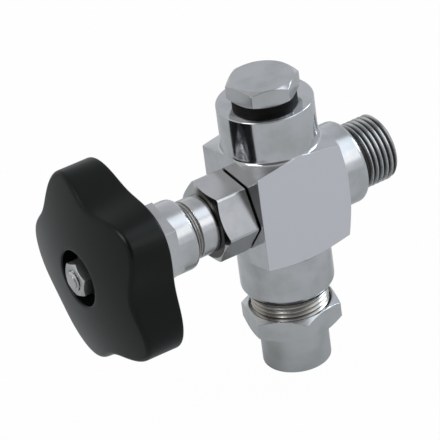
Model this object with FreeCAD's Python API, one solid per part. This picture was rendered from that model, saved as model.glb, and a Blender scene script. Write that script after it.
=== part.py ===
import FreeCAD, Part
import math
import os

# Gauge glass valve for a 14 mm glass, sizes in millimetres.
# The origin is the centre of the shoulder face behind the process thread.
# +X is the way the process thread points, +Z is up, and the flat front of the block faces -Y.
# The stem, the bonnet and the process end share the X axis.
# The plug and the glass share an upright axis that crosses it inside the block.

V = FreeCAD.Vector

# Block, turned and milled from one forging
block_depth = 30.0
block_left = 14.85
block_right = 16.8
block_top = 17.6
block_bottom = 17.2
shoulder_slope = math.tan(math.radians(17.0))
shoulder_start_radius = 15.0
root_fillet = 0.7
block_edge_break = 0.4

# Upper boss, closed by the plug
upper_boss_radius = 14.8
upper_boss_top = 31.85

# Lower boss, which carries the gland thread
lower_boss_radius = 14.45
lower_boss_end = 30.7
lower_boss_bevel = (2.5, 1.6)
gland_thread_radius = 12.0
gland_thread_end = 43.4
seal_pocket_radius = 9.4
seal_pocket_depth = 10.2

# Process end, a parallel G 1/2 pipe thread
process_thread_radius = 10.4775
process_thread_length = 12.5
process_relief_radius = 9.1
process_relief_width = 1.2
process_undercut = 0.5
process_shoulder_radius = 13.13
process_shoulder_length = 8.9
process_shoulder_round = 1.6
process_shoulder_root = 6.0
process_bore_radius = 4.0
process_end_chamfer = 0.9

# Gauge glass
glass_diameter = 14.0
glass_bore_radius = 7.25

# Valve seat and chamber
chamber_radius = 6.4
chamber_end = 9.6
seat_height = 0.9
seat_radius = 4.6
seat_flank = 0.5

# Top plug, with a G 3/8 thread
plug_thread_radius = 8.33
plug_thread_length = 12.0
plug_head_flats = 19.7
plug_head_height = 5.9
plug_hex_turn = 40.0
plug_gasket_radius = 9.9
plug_gasket_thickness = 1.95

# Bonnet
bonnet_thread_radius = 10.0
bonnet_thread_length = 6.3
bonnet_gasket_thickness = 0.5
bonnet_flats = 22.9
bonnet_hex_length = 11.1
bonnet_hex_turn = 126.8
bonnet_neck_radius = 9.25
bonnet_neck_length = 5.75
bonnet_cap_thread_radius = 9.0
bonnet_cap_thread_length = 10.8
stem_thread_length = 15.0
packing_chamber_radius = 6.6
packing_chamber_depth = 11.4

# Packing round the stem
packing_washer_thickness = 1.0
packing_ring_count = 3
packing_ring_height = 2.4
packing_gland_flange = 1.5
packing_gland_flange_radius = 8.4
packing_gland_stand_off = 0.6

# Packing nut
packing_nut_radius = 11.23
packing_nut_round = 1.9
packing_nut_exposed_thread = 2.1
packing_nut_end_wall = 4.0
packing_nut_flats = 22.4
packing_nut_hex_length = 7.5
packing_nut_hex_turn = 140.5

# Stem
stem_radius = 4.0
stem_thread_radius = 5.0
stem_pitch = 1.5
stem_turns = 3.0
stem_collar_radius = 5.8
stem_nose_radius = 3.0
stem_nose_length = 5.7
stem_groove_radius = 2.0
stem_groove_width = 1.8
stem_square = 6.0
stem_square_stand_back = 0.4
stem_end_thread_radius = 3.0

# Swivel tip
tip_radius = 5.9
tip_length = 8.5
tip_pocket_depth = 2.0
seat_disc_radius = 4.8
seat_disc_stand_out = 1.0
lock_pin_radius = 0.75

# Handwheel, a moulding with lobes
wheel_lobes = 5
wheel_front_outline = (32.1, 25.1, 0.17)
wheel_back_outline = (31.9, 27.5, -0.02)
wheel_lobe_turn = 68.5
wheel_thickness = 17.6
wheel_crown_radius = 106.0
wheel_front_round = 1.3
wheel_back_round = 0.8
wheel_back_gap = 4.7
wheel_hub_radius = 11.0
wheel_hub_gap = 2.6
wheel_recess_radius = 8.85
wheel_recess_depth = 5.7
wheel_recess_round = 0.6
insert_radius = 6.5

# Wheel nut and washer
wheel_nut_flats = 10.0
wheel_nut_height = 5.0
wheel_nut_turn = 101.0
wheel_washer_radius = 6.0
wheel_washer_thickness = 1.6
stem_end_stand_out = 1.1

# Gland nut
gland_nut_flats = 27.0
gland_nut_top = 38.5
gland_nut_height = 7.9
gland_nut_bottom_face = 12.3
gland_nut_turn = 15.2
gland_skirt_radius = 10.6
gland_skirt_end = 58.8
gland_skirt_chamfer = 0.5
gland_mouth_chamfer = 0.9

# Seals round the glass
seal_base_thickness = 1.5
glass_seal_count = 2
glass_seal_height = 2.9
follower_flange_radius = 11.2
follower_flange_thickness = 1.2
follower_stand_off = 0.4

# Clearances
thread_gap = 0.05
slide_gap = 0.1
turn_gap = 0.15

# Small edges, reliefs and run-outs shared by the pieces
edge_chamfer = 0.4
thread_chamfer = 0.8
thread_relief = 0.9
tap_run_out = 0.4
hex_face_step = 0.3
overshoot = 1.0

# Worked-out places
valve_x = -(block_right + process_shoulder_length)
left_face = valve_x - block_left
plug_head_bottom = upper_boss_top + plug_gasket_thickness
plug_thread_end = upper_boss_top - plug_thread_length
seat_face = valve_x + chamber_end - seat_height
stem_travel = stem_pitch * stem_turns
bonnet_inner_end = left_face + bonnet_thread_length
bonnet_hex_right = left_face - bonnet_gasket_thickness
bonnet_hex_left = bonnet_hex_right - bonnet_hex_length
bonnet_neck_left = bonnet_hex_left - bonnet_neck_length
bonnet_outer_end = bonnet_neck_left - bonnet_cap_thread_length
packing_bottom = bonnet_outer_end + packing_chamber_depth
packing_first_ring = packing_bottom - packing_washer_thickness
packing_top = packing_first_ring - packing_ring_count * packing_ring_height
gland_flange_right = bonnet_outer_end - packing_gland_stand_off
gland_flange_left = gland_flange_right - packing_gland_flange
packing_nut_right = bonnet_neck_left - packing_nut_exposed_thread
packing_nut_left = gland_flange_left - packing_nut_end_wall
tip_right = seat_face - seat_disc_stand_out
tip_left = tip_right - tip_length
nose_end = tip_left + stem_nose_length - slide_gap
collar_right = nose_end - stem_nose_length
collar_left = bonnet_inner_end + stem_travel + turn_gap
lock_pin_x = tip_left + 0.5 * stem_nose_length
hub_back = packing_nut_left - wheel_hub_gap
rim_back = packing_nut_left - wheel_back_gap
crown_front = rim_back - wheel_thickness
recess_floor = crown_front + wheel_recess_depth
washer_front = recess_floor - wheel_washer_thickness
nut_front = washer_front - wheel_nut_height
stem_end = nut_front - stem_end_stand_out
gland_seat_z = -(gland_thread_end - seal_pocket_depth)
seal_top_z = gland_seat_z - seal_base_thickness
seal_bottom_z = seal_top_z - glass_seal_count * glass_seal_height
flange_top_z = -(gland_thread_end + follower_stand_off)
flange_bottom_z = flange_top_z - follower_flange_thickness
gland_hex_bottom_z = -(gland_nut_top + gland_nut_height)


def turned(axis, path):
    """A solid turned about the X axis or the upright axis.

    The path lists (station, radius) points.
    A pair of points in it is an arc through the first one to the second one."""
    place = (lambda s, r: V(s, 0, r)) if axis == "x" else (lambda s, r: V(valve_x + r, 0, s))
    here = place(*path[0])
    start = here
    edges = []
    for step in path[1:] + [path[0]]:
        if isinstance(step[0], tuple):
            there = place(*step[1])
            edges.append(Part.Arc(here, place(*step[0]), there).toShape())
        else:
            there = place(*step)
            if here.distanceToPoint(there) > 1e-6:
                edges.append(Part.LineSegment(here, there).toShape())
        here = there
    face = Part.Face(Part.Wire(edges))
    if axis == "x":
        solid = face.revolve(V(0, 0, 0), V(1, 0, 0), 360)
    else:
        solid = face.revolve(V(valve_x, 0, 0), V(0, 0, 1), 360)
    if solid.Volume < 0:
        solid.reverse()
    return solid


def rod(axis, start, end, radius):
    """A plain round bar between two stations of an axis."""
    return turned(axis, [(start, 0), (start, radius), (end, radius), (end, 0)])


def ring(axis, start, end, inner, outer):
    """A plain ring between two stations of an axis."""
    return turned(axis, [(start, inner), (start, outer), (end, outer), (end, inner)])


def hexagon_bar(axis, start, end, flats, turn):
    """A hexagon bar.

    The turn is the angle of one corner, from +Y on the X axis and from +X on the upright one."""
    corner = flats / math.sqrt(3)
    points = []
    for k in range(7):
        angle = math.radians(turn + 60 * k)
        a = corner * math.cos(angle)
        b = corner * math.sin(angle)
        points.append(V(start, a, b) if axis == "x" else V(valve_x + a, b, start))
    face = Part.Face(Part.makePolygon(points))
    return face.extrude(V(end - start, 0, 0) if axis == "x" else V(0, 0, end - start))


def bevelled_hexagon(axis, start, end, size, faces):
    """A hexagon bar with its corners turned down to 30 degree bevels.

    The size is the width across flats and the turn of a corner. The faces are the radii
    of the flat circles that are left at the two ends, or None for a sharp end."""
    flats, turn = size
    start_face, end_face = faces
    bar = hexagon_bar(axis, start, end, flats, turn)
    corner = 1.1 * flats / math.sqrt(3)
    slope = math.tan(math.radians(30))
    way = 1 if end > start else -1
    path = [(start, 0)]
    if start_face is None:
        path.append((start, corner))
    else:
        path.append((start, start_face))
        path.append((start + way * (corner - start_face) * slope, corner))
    if end_face is None:
        path.append((end, corner))
    else:
        path.append((end - way * (corner - end_face) * slope, corner))
        path.append((end, end_face))
    path.append((end, 0))
    return bar.common(turned(axis, path))


def square_bar(start, end, across):
    """A square bar on the X axis, turned with the handwheel."""
    bar = Part.makeBox(abs(end - start), across, across, V(min(start, end), -across / 2, -across / 2))
    bar.rotate(V(0, 0, 0), V(1, 0, 0), wheel_lobe_turn)
    return bar


def write(name, shape):
    """One file for each sub-part."""
    shape.exportStep("parts/" + name + ".step")


def turned_block():
    """The square bar with its shoulders, bosses and gland thread turned about the upright axis."""
    reach = block_depth
    fall = (reach - shoulder_start_radius) * shoulder_slope
    top_root = upper_boss_radius + root_fillet
    low_root = lower_boss_radius + root_fillet
    top_root_z = block_top - (top_root - shoulder_start_radius) * shoulder_slope
    low_root_z = -block_bottom + (low_root - shoulder_start_radius) * shoulder_slope
    bend = root_fillet * (1 - math.sqrt(0.5))
    bevel_length, bevel_depth = lower_boss_bevel
    relief = gland_thread_radius - thread_relief
    thread_start = -(lower_boss_end + bevel_length)
    envelope = turned("z", [
        (-gland_thread_end, 0),
        (-gland_thread_end, gland_thread_radius - thread_chamfer),
        (-gland_thread_end + thread_chamfer, gland_thread_radius),
        (thread_start - thread_relief, gland_thread_radius),
        (thread_start - thread_relief, relief),
        (thread_start, relief),
        (thread_start, lower_boss_radius - bevel_depth),
        (-lower_boss_end, lower_boss_radius),
        (low_root_z - root_fillet, lower_boss_radius),
        ((low_root_z - bend, lower_boss_radius + bend), (low_root_z, low_root)),
        (-block_bottom + fall, reach),
        (block_top - fall, reach),
        (top_root_z, top_root),
        ((top_root_z + bend, upper_boss_radius + bend), (top_root_z + root_fillet, upper_boss_radius)),
        (upper_boss_top - edge_chamfer, upper_boss_radius),
        (upper_boss_top, upper_boss_radius - edge_chamfer),
        (upper_boss_top, 0),
    ])
    height = upper_boss_top + gland_thread_end
    corner = V(valve_x - block_left, -block_depth / 2, -gland_thread_end)
    bar = Part.makeBox(block_left + block_right, block_depth, height, corner)
    upright = [e for e in bar.Edges if abs(e.tangentAt(e.FirstParameter).z) > 0.9]
    bar = bar.makeChamfer(block_edge_break, upright)
    return envelope.common(bar)


def process_end():
    """The round shoulder and the pipe thread, turned about the X axis."""
    bend = process_shoulder_round * (1 - math.sqrt(0.5))
    root = -process_shoulder_length - process_shoulder_root
    round_middle = (-bend, process_shoulder_radius - bend)
    round_end = (0, process_shoulder_radius - process_shoulder_round)
    return turned("x", [
        (root, 0),
        (root, process_shoulder_radius),
        (-process_shoulder_round, process_shoulder_radius),
        (round_middle, round_end),
        (0, process_thread_radius + slide_gap),
        (-process_undercut, process_relief_radius),
        (process_relief_width, process_relief_radius),
        (process_relief_width, process_thread_radius),
        (process_thread_length - process_end_chamfer, process_thread_radius),
        (process_thread_length, process_thread_radius - process_end_chamfer),
        (process_thread_length, 0),
    ])


def process_side_shoulder():
    """The ring of corners that is turned off the block on its process side."""
    face = valve_x + block_right
    far = math.hypot(block_depth, block_top + block_bottom)
    fall = (far - shoulder_start_radius) * shoulder_slope
    tool = turned("x", [
        (face + overshoot, shoulder_start_radius),
        (face, shoulder_start_radius),
        (face - fall, far),
        (face + overshoot, far),
    ])
    low = -block_bottom + edge_chamfer / 2
    high = block_top - edge_chamfer / 2
    slab = Part.makeBox(2 * block_right, 2 * block_depth, high - low, V(valve_x, -block_depth, low))
    return tool.common(slab)


def block_bores():
    """The chamber, the process bore, the upright bore, the two pockets and the three inside threads."""
    chamber_right = valve_x + chamber_end
    chamber = turned("x", [
        (left_face - overshoot, 0),
        (left_face - overshoot, bonnet_thread_radius + thread_gap),
        (bonnet_inner_end + tap_run_out, bonnet_thread_radius + thread_gap),
        (bonnet_inner_end + tap_run_out, chamber_radius),
        (chamber_right, chamber_radius),
        (chamber_right, seat_radius + seat_flank),
        (seat_face, seat_radius),
        (seat_face, 0),
    ])
    process_end = process_thread_length + overshoot
    process = rod("x", seat_face - overshoot, process_end, process_bore_radius)
    plug_bore = plug_thread_radius + thread_gap
    upright = turned("z", [
        (upper_boss_top + overshoot, 0),
        (upper_boss_top + overshoot, plug_bore + edge_chamfer),
        (upper_boss_top, plug_bore + edge_chamfer),
        (upper_boss_top - edge_chamfer, plug_bore),
        (plug_thread_end - tap_run_out, plug_bore),
        (plug_thread_end - 2 * tap_run_out, glass_bore_radius),
        (gland_seat_z, glass_bore_radius),
        (gland_seat_z, seal_pocket_radius),
        (-gland_thread_end - overshoot, seal_pocket_radius),
        (-gland_thread_end - overshoot, 0),
    ])
    return [chamber, process, upright]


def make_body():
    solid = turned_block().cut(process_side_shoulder())
    solid = solid.fuse(process_end())
    for bore in block_bores():
        solid = solid.cut(bore)
    return solid.removeSplitter()


def make_top_plug():
    head_top = plug_head_bottom + plug_head_height
    size = (plug_head_flats, plug_hex_turn)
    face = plug_head_flats / 2 - hex_face_step
    head = bevelled_hexagon("z", plug_head_bottom, head_top, size, (face, face))
    shank = turned("z", [
        (plug_thread_end, 0),
        (plug_thread_end, plug_thread_radius - thread_chamfer),
        (plug_thread_end + thread_chamfer, plug_thread_radius),
        (plug_head_bottom, plug_thread_radius),
        (plug_head_bottom, 0),
    ])
    return head.fuse(shank).removeSplitter()


def make_plug_gasket():
    inner = plug_thread_radius + slide_gap
    return ring("z", upper_boss_top, plug_head_bottom, inner, plug_gasket_radius)


def make_bonnet():
    face = bonnet_flats / 2 - hex_face_step
    size = (bonnet_flats, bonnet_hex_turn)
    hexagon = bevelled_hexagon("x", bonnet_hex_right, bonnet_hex_left, size, (None, face))
    outside = turned("x", [
        (bonnet_inner_end, 0),
        (bonnet_inner_end, bonnet_thread_radius - thread_chamfer),
        (bonnet_inner_end - thread_chamfer, bonnet_thread_radius),
        (bonnet_hex_right, bonnet_thread_radius),
        (bonnet_hex_right, bonnet_neck_radius + edge_chamfer),
        (bonnet_hex_left, bonnet_neck_radius + edge_chamfer),
        (bonnet_hex_left - edge_chamfer, bonnet_neck_radius),
        (bonnet_neck_left, bonnet_neck_radius),
        (bonnet_neck_left, bonnet_cap_thread_radius),
        (bonnet_outer_end + thread_chamfer, bonnet_cap_thread_radius),
        (bonnet_outer_end, bonnet_cap_thread_radius - thread_chamfer),
        (bonnet_outer_end, 0),
    ])
    thread_left = bonnet_inner_end - stem_thread_length
    inside = turned("x", [
        (bonnet_inner_end + overshoot, 0),
        (bonnet_inner_end + overshoot, stem_thread_radius + thread_gap),
        (thread_left, stem_thread_radius + thread_gap),
        (thread_left, stem_radius + turn_gap),
        (packing_bottom, stem_radius + turn_gap),
        (packing_bottom, packing_chamber_radius),
        (bonnet_outer_end - overshoot, packing_chamber_radius),
        (bonnet_outer_end - overshoot, 0),
    ])
    return hexagon.fuse(outside).cut(inside).removeSplitter()


def make_bonnet_gasket():
    outer = bonnet_flats / 2 - hex_face_step
    return ring("x", bonnet_hex_right, left_face, bonnet_thread_radius + slide_gap, outer)


def make_stem():
    thread_fall = stem_thread_radius - stem_radius
    thread_left = bonnet_inner_end - stem_thread_length + stem_travel + thread_fall + turn_gap
    groove_left = lock_pin_x - stem_groove_width / 2
    groove_right = lock_pin_x + stem_groove_width / 2
    square_end = recess_floor + stem_square_stand_back
    bar = turned("x", [
        (nose_end, 0),
        (nose_end, stem_nose_radius - edge_chamfer),
        (nose_end - edge_chamfer, stem_nose_radius),
        (groove_right, stem_nose_radius),
        (groove_right, stem_groove_radius),
        (groove_left, stem_groove_radius),
        (groove_left, stem_nose_radius),
        (collar_right, stem_nose_radius),
        (collar_right, stem_collar_radius),
        (collar_left, stem_collar_radius),
        (collar_left, stem_thread_radius),
        (thread_left, stem_thread_radius),
        (thread_left - thread_fall, stem_radius),
        (hub_back, stem_radius),
        (hub_back, 0),
    ])
    shank = rod("x", hub_back, square_end, stem_radius)
    square = square_bar(hub_back, square_end, stem_square)
    end = turned("x", [
        (square_end, 0),
        (square_end, stem_end_thread_radius),
        (stem_end + thread_chamfer, stem_end_thread_radius),
        (stem_end, stem_end_thread_radius - thread_chamfer),
        (stem_end, 0),
    ])
    return bar.fuse(shank.common(square)).fuse(end).removeSplitter()


def lock_pins(radius, half_length):
    """The two upright cross pins beside the groove of the stem's nose, or the holes for them."""
    aside = stem_groove_radius + turn_gap + lock_pin_radius
    pins = []
    for side in (-1, 1):
        foot = V(lock_pin_x, side * aside, -half_length)
        pins.append(Part.makeCylinder(radius, 2 * half_length, foot))
    return Part.makeCompound(pins)


def make_swivel_tip():
    solid = turned("x", [
        (tip_left, 0),
        (tip_left, tip_radius - edge_chamfer),
        (tip_left + edge_chamfer, tip_radius),
        (tip_right - 2 * edge_chamfer, tip_radius),
        (tip_right, tip_radius - 2 * edge_chamfer),
        (tip_right, 0),
    ])
    socket_end = tip_left + stem_nose_length
    socket = rod("x", tip_left - overshoot, socket_end, stem_nose_radius + slide_gap)
    pocket = rod("x", tip_right - tip_pocket_depth, tip_right + overshoot, seat_disc_radius)
    return solid.cut(socket).cut(pocket).cut(lock_pins(lock_pin_radius, tip_radius + overshoot))


def make_seat_disc():
    return rod("x", tip_right - tip_pocket_depth, seat_face, seat_disc_radius)


def make_tip_lock_pins():
    outer_edge = stem_groove_radius + turn_gap + 2 * lock_pin_radius
    return lock_pins(lock_pin_radius, math.sqrt(tip_radius ** 2 - outer_edge ** 2))


def make_packing_washer():
    outer = packing_chamber_radius - slide_gap
    return ring("x", packing_first_ring, packing_bottom, stem_radius + slide_gap, outer)


def make_packing_ring(number):
    right = packing_first_ring - number * packing_ring_height
    left = right - packing_ring_height
    return ring("x", left, right, stem_radius + thread_gap, packing_chamber_radius - thread_gap)


def make_packing_gland():
    return turned("x", [
        (packing_top, stem_radius + slide_gap),
        (packing_top, packing_chamber_radius - slide_gap),
        (gland_flange_right, packing_chamber_radius - slide_gap),
        (gland_flange_right, packing_gland_flange_radius),
        (gland_flange_left, packing_gland_flange_radius),
        (gland_flange_left, stem_radius + slide_gap),
    ])


def make_packing_nut():
    bend = packing_nut_round * (1 - math.sqrt(0.5))
    mouth = bonnet_cap_thread_radius + thread_gap
    hex_right = packing_nut_left + packing_nut_hex_length
    size = (packing_nut_flats, packing_nut_hex_turn)
    face = packing_nut_flats / 2 - hex_face_step
    hexagon = bevelled_hexagon("x", packing_nut_left, hex_right, size, (face, None))
    round_middle = (packing_nut_right - bend, packing_nut_radius - bend)
    round_end = (packing_nut_right, packing_nut_radius - packing_nut_round)
    barrel = turned("x", [
        (hex_right, 0),
        (hex_right, packing_nut_radius),
        (packing_nut_right - packing_nut_round, packing_nut_radius),
        (round_middle, round_end),
        (packing_nut_right, 0),
    ])
    inside = turned("x", [
        (packing_nut_left - overshoot, 0),
        (packing_nut_left - overshoot, stem_radius + 2 * turn_gap),
        (gland_flange_left, stem_radius + 2 * turn_gap),
        (gland_flange_left, mouth),
        (packing_nut_right + overshoot, mouth),
        (packing_nut_right + overshoot, 0),
    ])
    return hexagon.fuse(barrel).cut(inside).removeSplitter()


def lobed_outline(station, outline):
    """A smooth closed outline of the handwheel.

    The outline is the reach of the lobes, the reach of the valleys and how pointed the lobes are."""
    lobe_reach, valley_reach, point = outline
    middle = (lobe_reach + valley_reach) / 2 - point
    swing = (lobe_reach - valley_reach) / 2
    count = 12 * wheel_lobes
    points = []
    for k in range(count):
        angle = 2 * math.pi * k / count
        radius = middle + swing * math.cos(wheel_lobes * angle)
        radius += point * math.cos(2 * wheel_lobes * angle)
        turn = angle + math.radians(wheel_lobe_turn)
        points.append(V(station, radius * math.cos(turn), radius * math.sin(turn)))
    curve = Part.BSplineCurve()
    curve.interpolate(Points=points, PeriodicFlag=True)
    return Part.Wire([curve.toShape()])


def wheel_blank():
    """The lobed block of the handwheel, whose valleys run deeper towards the front."""
    back = lobed_outline(rim_back, wheel_back_outline)
    front = lobed_outline(crown_front, wheel_front_outline)
    return Part.makeLoft([back, front], True, True)


def edges_between(solid, left, right, inner, outer):
    """The edges that lie between two stations and two radii of the X axis."""
    found = []
    for edge in solid.Edges:
        if edge.Degenerated:
            continue
        places = edge.discretize(5)
        radii = [math.hypot(p.y, p.z) for p in places]
        along = [p.x for p in places]
        if min(along) > left and max(along) < right and min(radii) > inner and max(radii) < outer:
            found.append(edge)
    return found


def wheel_dome():
    """Round stock as thick as the handwheel, with its front turned to a shallow dome."""
    reach = wheel_front_outline[0] + overshoot
    edge_angle = math.asin(reach / wheel_crown_radius)

    def on_dome(angle):
        depth = wheel_crown_radius - wheel_crown_radius * math.cos(angle)
        return (crown_front + depth, wheel_crown_radius * math.sin(angle))

    stock = turned("x", [
        (rim_back, 0),
        (rim_back, reach),
        on_dome(edge_angle),
        (on_dome(edge_angle / 2), (crown_front, 0)),
    ])
    stock.rotate(V(0, 0, 0), V(1, 0, 0), wheel_lobe_turn - 90)
    return stock


def make_handwheel():
    outside = wheel_front_outline[0] + overshoot
    near = 0.1 * overshoot
    solid = wheel_blank().common(wheel_dome()).Solids[0]
    front = edges_between(solid, crown_front, rim_back - overshoot, wheel_recess_radius, outside)
    solid = solid.makeFillet(wheel_front_round, front)
    back = edges_between(solid, rim_back - near, rim_back + near, wheel_recess_radius, outside)
    solid = solid.makeFillet(wheel_back_round, back)
    solid = solid.fuse(rod("x", rim_back - overshoot, hub_back, wheel_hub_radius))
    solid = solid.cut(rod("x", crown_front - overshoot, recess_floor, wheel_recess_radius))
    inner = wheel_recess_radius - near
    outer = wheel_recess_radius + near
    mouth = edges_between(solid, crown_front - overshoot, crown_front + overshoot, inner, outer)
    solid = solid.makeFillet(wheel_recess_round, mouth)
    solid = solid.cut(rod("x", hub_back + overshoot, recess_floor - overshoot, insert_radius))
    return solid.removeSplitter()


def make_wheel_insert():
    across = stem_square + 2 * thread_gap
    socket = square_bar(hub_back + overshoot, recess_floor - overshoot, across)
    return rod("x", hub_back, recess_floor, insert_radius).cut(socket)


def make_wheel_washer():
    return ring("x", washer_front, recess_floor, stem_end_thread_radius + turn_gap, wheel_washer_radius)


def make_wheel_nut():
    size = (wheel_nut_flats, wheel_nut_turn)
    face = wheel_nut_flats / 2 - hex_face_step
    solid = bevelled_hexagon("x", washer_front, nut_front, size, (face, face))
    bore = stem_end_thread_radius + thread_gap
    return solid.cut(rod("x", washer_front + overshoot, nut_front - overshoot, bore))


def make_gland_nut():
    size = (gland_nut_flats, gland_nut_turn)
    faces = (gland_nut_bottom_face, gland_nut_flats / 2 - hex_face_step)
    hexagon = bevelled_hexagon("z", gland_hex_bottom_z, -gland_nut_top, size, faces)
    skirt = turned("z", [
        (-gland_nut_top - overshoot, 0),
        (-gland_nut_top - overshoot, gland_skirt_radius),
        (-gland_skirt_end + gland_skirt_chamfer, gland_skirt_radius),
        (-gland_skirt_end, gland_skirt_radius - gland_skirt_chamfer),
        (-gland_skirt_end, 0),
    ])
    mouth = gland_thread_radius + thread_gap
    inside = turned("z", [
        (-gland_nut_top + overshoot, 0),
        (-gland_nut_top + overshoot, mouth + gland_mouth_chamfer),
        (-gland_nut_top, mouth + gland_mouth_chamfer),
        (-gland_nut_top - gland_mouth_chamfer, mouth),
        (flange_bottom_z, mouth),
        (flange_bottom_z, glass_bore_radius),
        (-gland_skirt_end - overshoot, glass_bore_radius),
        (-gland_skirt_end - overshoot, 0),
    ])
    return hexagon.fuse(skirt).cut(inside).removeSplitter()


def make_gland_follower():
    spigot = seal_pocket_radius - slide_gap
    return turned("z", [
        (seal_bottom_z, glass_bore_radius),
        (seal_bottom_z, spigot),
        (flange_top_z, spigot),
        (flange_top_z, follower_flange_radius),
        (flange_bottom_z, follower_flange_radius),
        (flange_bottom_z, glass_bore_radius),
    ])


def make_seal_base_ring():
    return ring("z", seal_top_z, gland_seat_z, glass_bore_radius, seal_pocket_radius - slide_gap)


def make_glass_seal(number):
    top = seal_top_z - number * glass_seal_height
    inner = glass_diameter / 2 + thread_gap
    return ring("z", top - glass_seal_height, top, inner, seal_pocket_radius - thread_gap)


def main():
    os.makedirs("parts", exist_ok=True)
    write("body", make_body())
    write("top_plug", make_top_plug())
    write("plug_gasket", make_plug_gasket())
    write("bonnet", make_bonnet())
    write("bonnet_gasket", make_bonnet_gasket())
    write("stem", make_stem())
    write("swivel_tip", make_swivel_tip())
    write("seat_disc", make_seat_disc())
    write("tip_lock_pins", make_tip_lock_pins())
    write("packing_washer", make_packing_washer())
    for number in range(packing_ring_count):
        write("packing_ring_" + str(number + 1), make_packing_ring(number))
    write("packing_gland", make_packing_gland())
    write("packing_nut", make_packing_nut())
    write("handwheel", make_handwheel())
    write("wheel_insert", make_wheel_insert())
    write("wheel_washer", make_wheel_washer())
    write("wheel_nut", make_wheel_nut())
    write("gland_nut", make_gland_nut())
    write("gland_follower", make_gland_follower())
    write("seal_base_ring", make_seal_base_ring())
    for number in range(glass_seal_count):
        write("glass_seal_" + str(number + 1), make_glass_seal(number))


main()
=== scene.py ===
# %% [markdown]
# # A gauge glass valve, dressed for the camera
#
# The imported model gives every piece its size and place. This lesson models the pieces that show,
# with the threads, edges and finishes that the plain solids leave out, and then lights them.
# Everything is worked in millimetres and turned into metres by one value.

# %% Load the frame
import math
import bpy
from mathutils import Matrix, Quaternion, Vector


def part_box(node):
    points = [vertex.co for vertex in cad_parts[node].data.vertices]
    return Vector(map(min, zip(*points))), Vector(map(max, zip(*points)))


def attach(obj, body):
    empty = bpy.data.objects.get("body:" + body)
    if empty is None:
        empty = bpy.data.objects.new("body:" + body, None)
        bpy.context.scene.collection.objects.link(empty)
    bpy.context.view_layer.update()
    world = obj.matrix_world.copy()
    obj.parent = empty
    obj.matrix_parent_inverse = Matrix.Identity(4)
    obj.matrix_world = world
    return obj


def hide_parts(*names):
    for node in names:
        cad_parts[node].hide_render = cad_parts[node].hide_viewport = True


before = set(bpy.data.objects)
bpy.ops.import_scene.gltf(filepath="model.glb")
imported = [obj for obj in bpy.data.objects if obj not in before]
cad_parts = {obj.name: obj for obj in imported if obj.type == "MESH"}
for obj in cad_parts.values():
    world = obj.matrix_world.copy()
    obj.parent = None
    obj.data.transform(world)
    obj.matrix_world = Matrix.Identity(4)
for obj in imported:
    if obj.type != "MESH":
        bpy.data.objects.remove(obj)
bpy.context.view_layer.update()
MM = 0.001


def cad_span(node, axis):
    """The lowest and highest place of a CAD node along one axis, in millimetres."""
    low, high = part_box(node)
    return low[axis] / MM, high[axis] / MM


VALVE_X = sum(cad_span("top_plug", 0)) / 2
print("the upright axis stands at x =", round(VALVE_X, 2), "mm")

# %% [markdown]
# ## Working habits
#
# An operator acts on whatever is selected, so each step first picks the one piece it works on.
# Round pieces are made standing on the Z axis, as in a lathe, and are then laid on one of the
# valve's two axes. The place goes into the mesh, and the object stays at the origin.

# %% Picking and placing


def pick(piece):
    """Makes one object the only selected and the active one."""
    bpy.ops.object.select_all(action="DESELECT")
    piece.select_set(True)
    bpy.context.view_layer.objects.active = piece


def edit(piece, mode="VERT"):
    """Opens a piece in edit mode with nothing selected."""
    pick(piece)
    bpy.ops.object.mode_set(mode="EDIT")
    bpy.ops.mesh.select_mode(type=mode)
    bpy.ops.mesh.select_all(action="DESELECT")


def leave_edit():
    bpy.ops.object.mode_set(mode="OBJECT")


def clear_marks(piece, mode="VERT"):
    """Leaves a piece with nothing selected in it, so that single points can be marked."""
    edit(piece, mode)
    leave_edit()


def bevel_marked(width, segments, affect="EDGES", clamp=False):
    """Bevels what is marked on the active piece."""
    bpy.ops.object.mode_set(mode="EDIT")
    bpy.ops.mesh.bevel(offset=width * MM, segments=segments, affect=affect, clamp_overlap=clamp)
    leave_edit()


def settle(piece):
    """Puts the place, turn and size of a piece into its mesh."""
    pick(piece)
    bpy.ops.object.transform_apply(location=True, rotation=True, scale=True)


def lay(piece, axis):
    """Lays an upright piece on the stem's axis or stands it on the glass's axis."""
    if axis == "stem":
        piece.rotation_euler = (0, math.pi / 2, 0)
    else:
        piece.location = (VALVE_X * MM, 0, 0)
    settle(piece)


def square_bar(name, centre, size, turn=0):
    """A square bar by its centre and its three lengths, turned about Z."""
    bpy.ops.object.select_all(action="DESELECT")
    bpy.ops.mesh.primitive_cube_add(
        size=1,
        location=[place * MM for place in centre],
        rotation=(0, 0, math.radians(turn)),
        scale=[length * MM for length in size],
    )
    piece = bpy.context.object
    piece.name = name
    settle(piece)
    return piece


# %% [markdown]
# ## Turning
#
# A turned piece is half of its section, spun round the axis. The section is a closed loop of
# points, each a radius and a station, with an optional third number that rounds the corner there.
# The corners are rounded with a vertex bevel while the section is still a wire, so every edge of
# the finished piece catches the light as a real edge does.

# %% Turn a closed section round the Z axis
TURN_STEPS = 128
EDGE_ROUND = 0.15
ROUND_SEGMENTS = 4
SAME_PLACE = 0.001 * MM


def round_corners(piece, corners):
    """Rounds wire corners. Each corner is its place and its radius, and equal radii go together."""
    for radius in sorted(set(r for place, r in corners if r > 0)):
        clear_marks(piece)
        places = [place for place, r in corners if r == radius]
        for vertex in piece.data.vertices:
            vertex.select = any((vertex.co - place).length < SAME_PLACE for place in places)
        bevel_marked(radius, ROUND_SEGMENTS, "VERTICES")


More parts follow.
